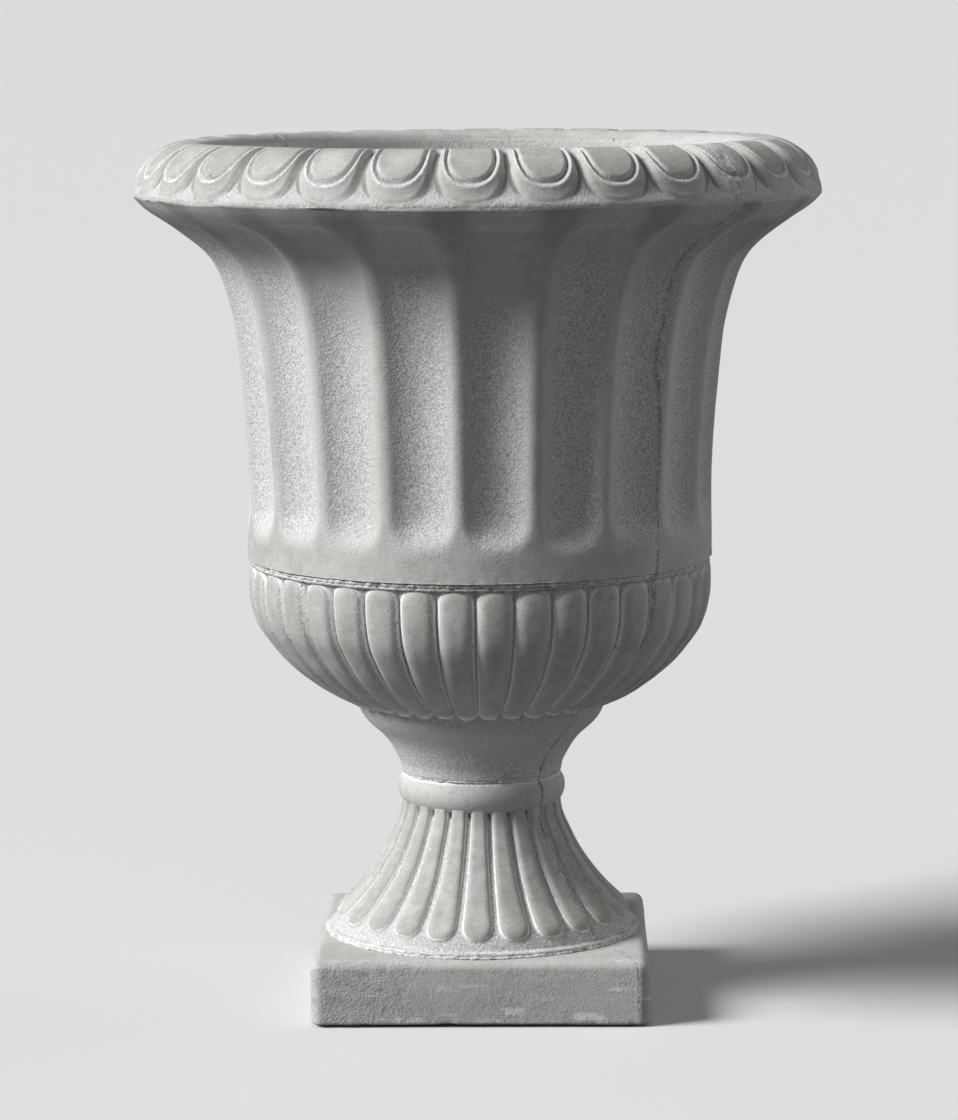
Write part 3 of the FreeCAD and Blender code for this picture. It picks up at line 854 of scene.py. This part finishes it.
def make_lip():
    """Half-round bead at the foot's lower edge, closed through the bore."""
    half = lip_height / 2
    bead = arc((lip_radius - half, foot_low + half), half, -90, 90, 12)
    inside = [(lip_radius - 10 * mm, foot_low + 6 * mm), (drain_radius, foot_low + 30 * mm),
              (drain_radius, foot_low)]
    return make_turning("base_lip", np.concatenate([bead, inside]), columns=720,
                        strength=0.6, lime=0.45, hollow=0.5)


collar = make_collar()
lip = make_lip()

# %% [markdown]
# ## The plinth
#
# A square block with soft arrises. Its grid goes round the square in columns; the rows
# go up the side, over the arris, across the top to the bore and back underneath.

# %% Plinth outline
PLINTH_CORNER, TOP_ARRIS, LOW_ARRIS = 10 * mm, 8 * mm, 3 * mm
PLINTH_COLUMNS, SIDE_ROWS, TOP_ROWS = 900, 42, 32
RECESS_RADIUS, RECESS_DEPTH = 36 * mm, 26 * mm
NO_SEAM = 40                  # mm: the mould's line stays off the plinth


def square_line(count, half, corner):
    """Points round a square with rounded corners, and their outward directions."""
    side = half - corner
    quarter = np.pi / 2 * corner
    straight = 2 * side
    total = 4 * (straight + quarter)
    at = np.arange(count) / count * total
    leg = np.floor(at / (straight + quarter)).astype(int)
    rest = at - leg * (straight + quarter)
    bend = np.clip(rest - straight, 0, quarter) / corner
    run = np.minimum(rest, straight)
    x = np.where(rest < straight, half, side + corner * np.cos(bend))
    y = np.where(rest < straight, run - side, side + corner * np.sin(bend))
    nx = np.where(rest < straight, 1, np.cos(bend))
    ny = np.where(rest < straight, 0, np.sin(bend))
    c, s = np.cos(leg * np.pi / 2), np.sin(leg * np.pi / 2)
    return np.c_[x * c - y * s, x * s + y * c], np.c_[nx * c - ny * s, nx * s + ny * c]


def plinth_rows(place, facing):
    """The block's rows as pairs: points on the plan and a height."""
    circle = place / np.hypot(*place.T)[:, None] * drain_radius
    rows = []
    for out, up in arc((0, LOW_ARRIS), LOW_ARRIS, -90, 0, 5):
        rows.append((place + facing * (out - LOW_ARRIS), plinth_low + up))
    low_side, high_side = plinth_low + LOW_ARRIS, plinth_top - TOP_ARRIS
    for share in np.linspace(0.03, 0.97, SIDE_ROWS):
        rows.append((place, low_side + share * (high_side - low_side)))
    for out, up in arc((0, 0), TOP_ARRIS, 0, 90, 11):
        rows.append((place + facing * (out - TOP_ARRIS), high_side + up))
    edge = place - facing * TOP_ARRIS
    for share in np.linspace(0, 1, TOP_ROWS)[1:] ** 1.3:
        rows.append((edge * (1 - share) + circle * share, plinth_top))
    recess = circle / drain_radius * RECESS_RADIUS
    rows.append((circle, plinth_low + RECESS_DEPTH))
    rows.append((recess, plinth_low + RECESS_DEPTH))
    rows.append((recess, plinth_low))
    under = place - facing * LOW_ARRIS
    for share in (0.3, 0.7):
        rows.append((recess * (1 - share) + under * share, plinth_low))
    return rows


# %% Plinth
def make_plinth():
    """The rows above, their sides swelled at mid height, worn and chipped by noise."""
    place, facing = square_line(PLINTH_COLUMNS, plinth_half, PLINTH_CORNER)
    rows = plinth_rows(place, facing)
    grid = np.zeros((PLINTH_COLUMNS, len(rows), 3))
    for k, (flat, height) in enumerate(rows):
        grid[:, k, :2] = flat
        grid[:, k, 2] = height
    along = np.gradient(grid, axis=1)
    round_about = np.roll(grid, -1, 0) - np.roll(grid, 1, 0)
    normals = np.cross(round_about, along)
    normals /= np.linalg.norm(normals, axis=-1, keepdims=True) + 1e-12
    reach = np.abs(grid[..., :2]).max(-1)
    side = smooth_step(plinth_half - 12 * mm, plinth_half - 2 * mm, reach)
    height = (grid[..., 2] - plinth_low) / (plinth_top - plinth_low)
    swell = 0.9 * (1 - (2 * height - 1) ** 2) - 0.9
    sandy = smooth_step(-10 * mm, -95 * mm, grid[..., 0] + 0.3 * grid[..., 1] + 40 * mm)
    pitted = (0.12 + 0.1 * sandy) * np.minimum(rough(grid, 16 * mm, 4, 8.0), 0.15)
    chips = 0.9 * bell(height, 0.06) * np.minimum(rough(grid, 14 * mm, 3, 2.0), 0)
    worn = weathered(grid, normals, 0.8) + normals * (
        (pitted + (swell + chips) * side) * mm)[..., None]
    grid = np.where((reach > drain_radius * 1.5)[..., None], worn, grid)
    grid = inside_box(grid, "square_plinth")
    scuffs = smooth_step(0.3, 0.8, field(grid * [0.3, 0.3, 2.2], 9 * mm, 4.0))
    hollow = side * 0.45 * sandy + 0.12
    lime = (side * (0.4 * bell(height - 0.05, 0.12) + 0.5 * scuffs - 0.4 * sandy)
            + 0.1 * (1 - side))
    return stone_ring("plinth_block", grid, hollow, lime, NO_SEAM + 0 * side, flip=False)


plinth = make_plinth()

# %% [markdown]
# ## Joint mortar
#
# The three joints are pointed with lime mortar. Each is a small bead of oval section,
# pushed about by rough noise, so that it stands out of the joint in crumbs and falls back
# in gaps.

# %% Mortar
def make_pointing(name, radius, level, thick, tall, columns):
    """Crumbly bead: an oval `thick` by `tall` mm each way, pushed by rough noise."""
    section = arc((0, 0), 1.0, -180, 162, 20) * [thick * mm, tall * mm] + [radius, level]
    angle = full_turn(columns)
    push = np.zeros((len(angle), len(section)))
    points, facing = turned_grid(angle, section, outward(section), push)
    lumps = rough(points, 4.5 * mm, 2, 6.0) * 0.9
    points = points + facing * (lumps * mm)[..., None]
    seam = seam_distance(angle, points)
    return stone_ring(name, points, push + 0.6, push + 0.5, seam)


body_pointing = make_pointing(
    "body_pointing", 197.2 * mm, bowl_top - 0.3 * mm, thick=2.7, tall=1.9, columns=1800)
neck_pointing = make_pointing(
    "neck_pointing", 66.5 * mm, foot_top + 0.75 * mm, thick=3.4, tall=1.5, columns=440)
plinth_pointing = make_pointing(
    "plinth_pointing", 134.6 * mm, plinth_top + 0.6 * mm, thick=3.6, tall=1.6, columns=800)


# %% [markdown]
# ## Shader maths
#
# A small class wraps a node socket, so that maths on shaders reads like Python.

# %% Socket maths
class Value:
    """A node socket that adds a Math node for each operator."""

    def __init__(self, tree, socket):
        self.tree = tree
        self.socket = socket

    def _join(self, operation, other, swap=False):
        first, second = (other, self) if swap else (self, other)
        return self.tree.node("ShaderNodeMath", {"operation": operation},
                              {0: first, 1: second})

    def __add__(self, other):
        return self._join("ADD", other)

    def __sub__(self, other):
        return self._join("SUBTRACT", other)

    def __rsub__(self, other):
        return self._join("SUBTRACT", other, True)

    def __mul__(self, other):
        return self._join("MULTIPLY", other)

    def __abs__(self):
        return self.tree.node("ShaderNodeMath", {"operation": "ABSOLUTE"}, {0: self})

    __radd__ = __add__
    __rmul__ = __mul__


class Tree:
    """The nodes of one material."""

    def __init__(self, name):
        self.material = bpy.data.materials.new(name)
        self.material.use_nodes = True
        self.nodes = self.material.node_tree.nodes
        self.links = self.material.node_tree.links
        self.shader = self.nodes["Principled BSDF"]

    def node(self, kind, settings=None, inputs=None, output=0):
        """A node of a kind: its settings first, then its sockets' values or links."""
        made = self.nodes.new(kind)
        for key, value in (settings or {}).items():
            setattr(made, key, value)
        for key, value in (inputs or {}).items():
            self.put(made.inputs[key], value)
        return Value(self, made.outputs[output])

    def put(self, socket, value):
        """A link where the value is a socket, and otherwise the socket's own value."""
        if isinstance(value, Value):
            self.links.new(value.socket, socket)
        else:
            socket.default_value = value

    def attribute(self, name):
        """A mark that the carving left on the points."""
        return self.node("ShaderNodeAttribute", {"attribute_name": name}, output="Fac")

    def ramp(self, value, low, high):
        """0 at low, 1 at high."""
        return self.node("ShaderNodeMapRange", {"interpolation_type": "SMOOTHSTEP"},
                         {"Value": value, "From Min": low, "From Max": high})

    def noise(self, place, scale, detail=4.0, roughness=0.55):
        """Noise from 0 to 1, `scale` lumps in a metre."""
        return self.node("ShaderNodeTexNoise", {}, {
            "Vector": place, "Scale": scale, "Detail": detail, "Roughness": roughness})

    def mix(self, share, first, second):
        """The first colour where share is 0, the second where it is 1."""
        return self.node("ShaderNodeMix", {"data_type": "RGBA"},
                         {0: share, 6: first, 7: second}, output=2)


# %% [markdown]
# ## Stone
#
# The smooth skin is a pale olive grey with darker stains. Where the mould was rough, the
# stone is sandy and a little more violet, with dark and white grains that thicken
# towards the middle of each hollow. Thin lime lies on the carved edges, the grooves are
# darker, and the parting line is dark with pale crumbs. Under the rim the darker skin is
# partly stain and partly painted shade, and the thin dark lines round the rim's tongues
# and past the foot's tongue tips are painted shadow. All of it follows the marks that
# the carving left on the points, blurred by noise. A painted picture could show the same,
# but noise on the object's own coordinates has no seams and no grain size of its own.

# %% Stone colours
SKIN = (0.61, 0.612, 0.592, 1)
# Stained skin; under the rim the same colour is painted shade.
SKIN_STAIN_AND_SHADE = (0.43, 0.432, 0.405, 1)
SAND = (0.64, 0.635, 0.645, 1)
SAND_DARK = (0.26, 0.255, 0.26, 1)
# Dirt, and the colour of the painted shade under the rim and of the painted shadow lines at
# the tongues.
DIRT_AND_SHADE = (0.21, 0.205, 0.19, 1)
GRAIN = (0.86, 0.86, 0.85, 1)
LIME = (0.90, 0.90, 0.89, 1)
GRIME = (0.10, 0.095, 0.085, 1)
CLOUDS, PATCHES, MOTTLES, SPECKS, GRAINS = 8, 26, 105, 420, 820     # lumps in a metre
STREAKS = (60, 60, 520)       # stretched flat, as marks of a brush round the urn
WORMS, PITS = 75, 85.0
CRACK_PLANE, CRACK_AT = (921.0, 389.0, 14.0), 70.0                  # direction, mm
BUMP_STRENGTH, BUMP_DISTANCE, SPECULAR = 0.6, 0.0012, 0.3


def plinth_crack(tree, place, fine):
    """Distance in mm to the plinth's parting: an upright plane near its right corner."""
    plane = tree.node("ShaderNodeVectorMath", {"operation": "DOT_PRODUCT"},
                      {0: place, 1: CRACK_PLANE}, output="Value")
    front = tree.node("ShaderNodeSeparateXYZ", {}, {0: place}, output="Y")
    return plane - CRACK_AT + fine * 2.5 + tree.ramp(front, -0.11, -0.06) * 60


# %% Stone
def make_stone(name, sandiness=0.0, crack=None):
    """Skin and sand, grains, lime, dirt and painted shade, scratches, the parting line and
    pits.
    """
    tree = Tree(name)
    place = tree.node("ShaderNodeTexCoord", output="Object")
    hollow = tree.attribute("hollow")
    lime = tree.attribute("lime")
    cloud = tree.noise(place, CLOUDS, 4)
    patch = tree.noise(place, PATCHES, 5, 0.6)
    mottle = tree.noise(place, MOTTLES, 4, 0.6)
    fine = tree.noise(place, SPECKS, 3, 0.6)
    grain = tree.noise(place, GRAINS, 2, 0.7)
    brush = tree.node("ShaderNodeMapping", {}, {"Vector": place, "Scale": STREAKS})
    streak = tree.noise(brush, 1.0, 4, 0.6)
    sandy = tree.ramp(hollow + cloud * 0.8 + patch * 0.7 + mottle * 0.5 + fine * 0.6
                      + (sandiness - 1.3), 0.05, 0.95)
    # Below zero the hollow mark stains the skin darker; under the rim this is painted
    # shade.
    stain = tree.ramp(patch * 0.7 + cloud * 0.5 + mottle * 0.5 + streak * 0.4 + fine * 0.6
                      + grain * 0.4 - hollow * 0.8, 1.35, 1.85)
    colour = tree.mix(sandy, tree.mix(stain, SKIN, SKIN_STAIN_AND_SHADE), SAND)
    dark_grain = 1 - tree.ramp(grain * 0.8 + fine * 0.4, 0.47, 0.57)
    colour = tree.mix(dark_grain * (0.45 + sandy * 0.35), colour, SAND_DARK)
    white = tree.ramp(grain + fine * 0.6 + sandy * 0.13, 0.96, 1.05)
    colour = tree.mix(white * (0.55 + sandy * 0.4), colour, GRAIN)
    dust = mottle + fine * 0.7 + grain * 0.6 - 1.15
    colour = tree.mix(tree.ramp(dust + lime, 0.25, 0.75) * 0.9, colour, LIME)
    # Below zero the lime mark darkens the stone: dirt, and also the painted shade under the
    # rim and the painted shadow lines at the tongues.
    colour = tree.mix(tree.ramp(dust - lime, 0.25, 0.85) * 0.7, colour, DIRT_AND_SHADE)
    worm = abs(tree.noise(place, WORMS, 1) - 0.5)
    scratch = (1 - tree.ramp(worm, 0.0, 0.006)) * tree.ramp(mottle + patch, 1.10, 1.22)
    colour = tree.mix(scratch * 0.7, colour, GRAIN)
    seam = tree.attribute("seam") if crack is None else crack(tree, place, fine)
    off_seam = abs(seam + mottle * 4.0 + fine * 3.0 - 3.5)
    dark_line = (1 - tree.ramp(off_seam, 0.2, 1.0)) * tree.ramp(mottle, 0.44, 0.56)
    crumbs = (1 - tree.ramp(off_seam, 1.0, 5.0)) * tree.ramp(grain + fine * 0.5, 0.74, 0.84)
    colour = tree.mix(crumbs * 0.65, colour, GRAIN)
    colour = tree.mix(dark_line * 0.5, colour, GRIME)
    pits = tree.node("ShaderNodeTexVoronoi", {}, {"Vector": place, "Scale": PITS})
    pit = (1 - tree.ramp(pits, 0.05, 0.12)) * tree.ramp(patch, 0.58, 0.66)
    colour = tree.mix(pit * 0.6, colour, GRIME)
    height = (grain * (0.2 + sandy * 0.8) * 0.5 + fine * (0.2 + sandy * 0.6)
              + mottle * 0.2 + scratch * 0.3 + crumbs * 0.6 - dark_line * 1.0 - pit * 1.2)
    bump = tree.node("ShaderNodeBump", {}, {
        "Strength": BUMP_STRENGTH, "Distance": BUMP_DISTANCE, "Height": height})
    tree.put(tree.shader.inputs["Base Color"], colour)
    tree.put(tree.shader.inputs["Roughness"], 0.76 + sandy * 0.18)
    tree.put(tree.shader.inputs["Normal"], bump)
    tree.put(tree.shader.inputs["Specular IOR Level"], SPECULAR)
    return tree.material


# %% Steel and rubber
STEEL, STEEL_STAIN = (0.56, 0.57, 0.58, 1), (0.4, 0.37, 0.33, 1)
RUBBER, RUBBER_DUST = (0.035, 0.035, 0.036, 1), (0.14, 0.14, 0.13, 1)


def make_steel():
    """Drawn steel: fine lines along the bar, with a brown stain in patches."""
    tree = Tree("stainless_steel")
    place = tree.node("ShaderNodeTexCoord", output="Object")
    streak = tree.node("ShaderNodeMapping", {}, {"Vector": place, "Scale": (40, 900, 900)})
    line = tree.noise(streak, 1.0, 3)
    stain = tree.ramp(tree.noise(place, 60, 4), 0.45, 0.75)
    tree.put(tree.shader.inputs["Base Color"], tree.mix(stain, STEEL, STEEL_STAIN))
    tree.put(tree.shader.inputs["Metallic"], 1.0)
    tree.put(tree.shader.inputs["Roughness"], 0.32 + line * 0.18)
    return tree.material


def make_rubber():
    """Black rubber, dusty in patches."""
    tree = Tree("pad_rubber")
    place = tree.node("ShaderNodeTexCoord", output="Object")
    dust = tree.noise(place, 220, 4)
    tree.put(tree.shader.inputs["Base Color"],
             tree.mix(tree.ramp(dust, 0.5, 0.8), RUBBER, RUBBER_DUST))
    tree.put(tree.shader.inputs["Roughness"], 0.75 + dust * 0.2)
    return tree.material


stone = make_stone("cast_stone")
plinth_stone = make_stone("plinth_stone", crack=plinth_crack)
mortar = make_stone("joint_mortar", sandiness=0.4)
steel = make_steel()
rubber = make_rubber()
print("materials:", stone.name, plinth_stone.name, mortar.name, steel.name, rubber.name)

# %% [markdown]
# ## Putting the pieces in place
#
# Every piece rides on the model's one body and stands for the casting that it covers.
# The steel and the pads keep the model's own shapes and only get a finish.

# %% Pieces
def dress(piece, material, slot, *nodes):
    """A piece's finish, its body and the model's nodes that it stands for. The slot is not
    used.
    """
    piece.data.materials.clear()
    piece.data.materials.append(material)
    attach(piece, "root")
    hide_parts(*nodes)


for piece in rim_arcs + [wall]:
    dress(piece, stone, "cast_stone", "fluted_body")
for piece in (gadroons, neck):
    dress(piece, stone, "cast_stone", "gadrooned_bowl")
for piece in (foot, collar, lip):
    dress(piece, stone, "cast_stone", "fluted_foot")
dress(plinth, plinth_stone, "cast_stone", "square_plinth")
dress(body_pointing, mortar, "mortar", "body_joint_mortar")
dress(neck_pointing, mortar, "mortar", "neck_joint_mortar")
dress(plinth_pointing, mortar, "mortar", "plinth_joint_mortar")
for name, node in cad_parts.items():
    if name == "base_pads":
        finish = rubber
    elif name in ("wall_dowels", "tie_rod") or name.startswith(("upper", "lower")):
        finish = steel
    else:
        continue
    for spot in node.material_slots:
        spot.material = finish


# %% [markdown]
# ## Floor and backdrop
#
# The floor runs on past the horizon in a pale grey, and the sky behind is set to what
# that grey comes out as under the lamps, so the two meet without a line. Only the camera,
# and a mirror that faces the floor, see it: to the stone both are darker, so that the
# lamps shape it and little light comes back up on its underside.

# %% Floor and world
SEEN_GREY, SEEN_SKY = (0.80, 0.80, 0.81, 1), (0.74, 0.74, 0.75, 1)
FLOOR_FOR_STONE, SKY_LIGHT = (0.11, 0.11, 0.112, 1), (0.148, 0.148, 0.146, 1)
FLOOR_REACH = 3000            # metres each way, past the horizon


def make_floor():
    """A flat square far wider than the picture. It is stage, and no piece of the urn."""
    far = FLOOR_REACH
    corners = [(-far, -far, 0), (far, -far, 0), (far, far, 0), (-far, far, 0)]
    mesh = bpy.data.meshes.new("floor")
    mesh.from_pydata(corners, [], [(0, 1, 2, 3)])
    floor = bpy.data.objects.new("floor", mesh)
    bpy.context.scene.collection.objects.link(floor)
    tree = Tree("floor")
    seen = tree.node("ShaderNodeLightPath", output="Is Camera Ray")
    gloss = tree.node("ShaderNodeLightPath", output="Is Glossy Ray")
    colour = tree.mix(seen + gloss, FLOOR_FOR_STONE, SEEN_GREY)
    tree.put(tree.shader.inputs["Base Color"], colour)
    tree.put(tree.shader.inputs["Roughness"], 0.9)
    mesh.materials.append(tree.material)


def make_world():
    """Even light from all round, with a paler grey for the camera alone."""
    world = bpy.data.worlds.new("studio")
    world.use_nodes = True
    nodes, links = world.node_tree.nodes, world.node_tree.links
    back = nodes["Background"]
    path = nodes.new("ShaderNodeLightPath")
    mix = nodes.new("ShaderNodeMix")
    mix.data_type = "RGBA"
    mix.inputs[6].default_value = SKY_LIGHT
    mix.inputs[7].default_value = SEEN_SKY
    links.new(path.outputs["Is Camera Ray"], mix.inputs[0])
    links.new(mix.outputs[2], back.inputs["Color"])
    bpy.context.scene.world = world


make_floor()
make_world()
bpy.context.scene.view_settings.view_transform = "Standard"
